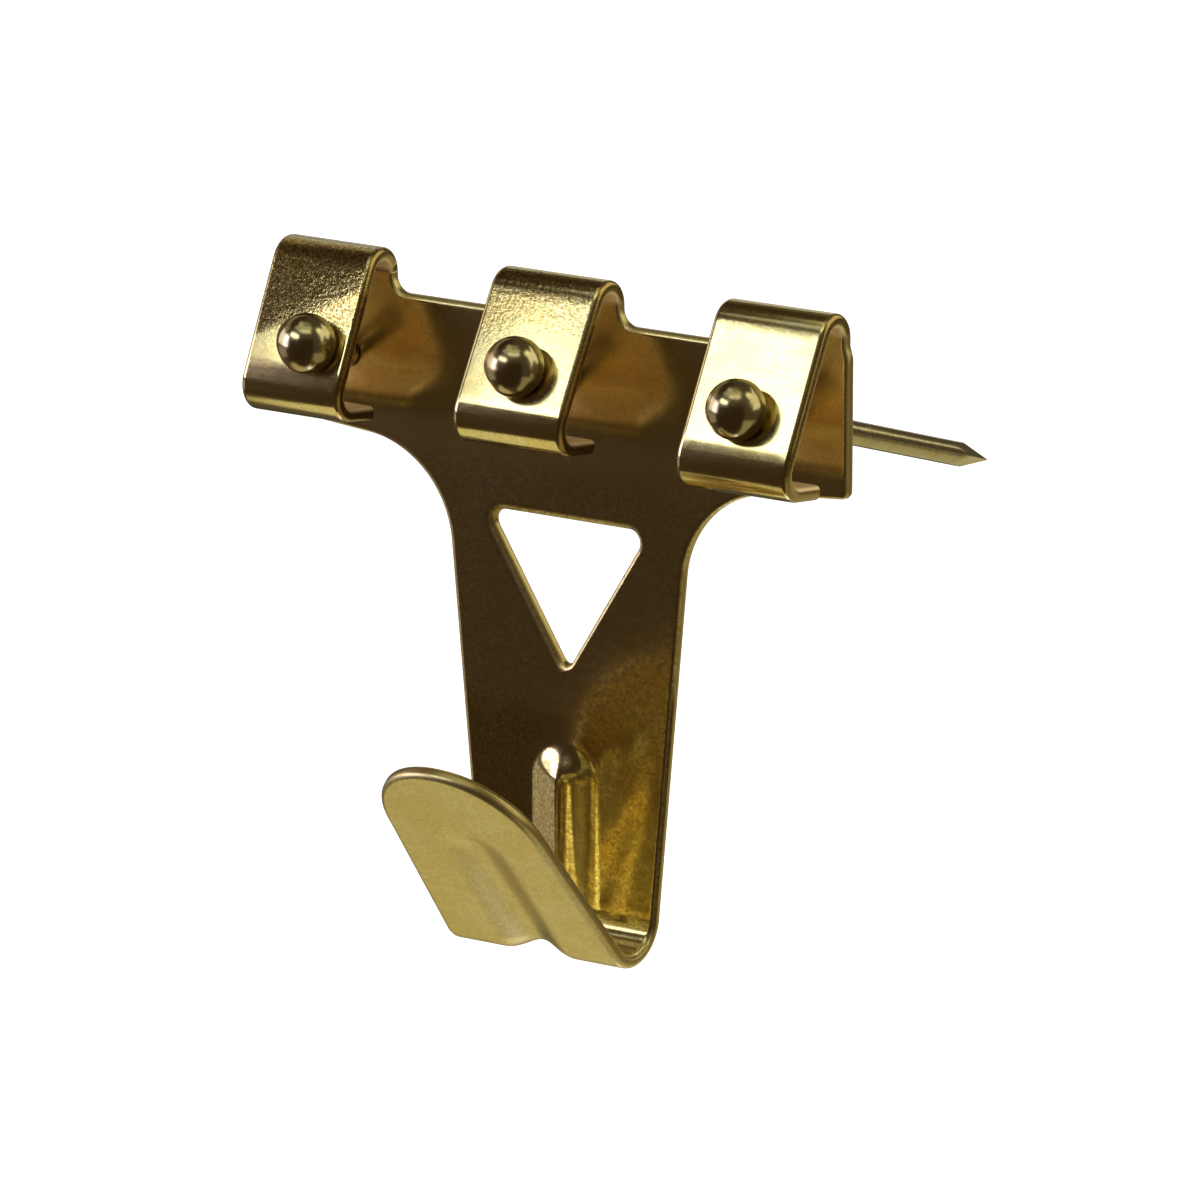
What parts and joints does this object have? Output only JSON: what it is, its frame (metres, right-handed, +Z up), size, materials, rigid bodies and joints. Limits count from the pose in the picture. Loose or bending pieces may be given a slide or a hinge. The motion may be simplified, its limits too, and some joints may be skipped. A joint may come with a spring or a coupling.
{
  "type": "picture hanger",
  "caption": "Folded brass-plated steel wall hanger: slanted domed nails slide through its tabs, and a ribbed hook under a triangular window takes a picture's wire or ring.",
  "frame": {"origin": "on the plate's wall face, on its centreline, level with the lower corners of the arms", "axes": "+X to the right as seen from the room, +Y into the wall, +Z up"},
  "size_m": [0.048, 0.048, 0.0516],
  "materials": {
    "plated_sheet": "bright brass plate on folded steel sheet, satin on the drawn hook",
    "plated_nail": "polished brass plate on a steel nail"
  },
  "bodies": {
    "plate": {"hanger_plate": "plated_sheet"},
    "left_nail": {"nail_left": "plated_nail"},
    "centre_nail": {"nail_centre": "plated_nail"},
    "right_nail": {"nail_right": "plated_nail"}
  },
  "joints": [
    {"name": "nail_left_slide", "type": "slide", "parent": "plate", "child": "left_nail", "axis": [0.1159, -0.944, 0.309], "range_m": [0, 0.039]},
    {"name": "nail_centre_slide", "type": "slide", "parent": "plate", "child": "centre_nail", "axis": [0.0243, -0.9269, 0.3746], "range_m": [0, 0.039]},
    {"name": "nail_right_slide", "type": "slide", "parent": "plate", "child": "right_nail", "axis": [0, -0.9511, 0.309], "range_m": [0, 0.039]}
  ]
}
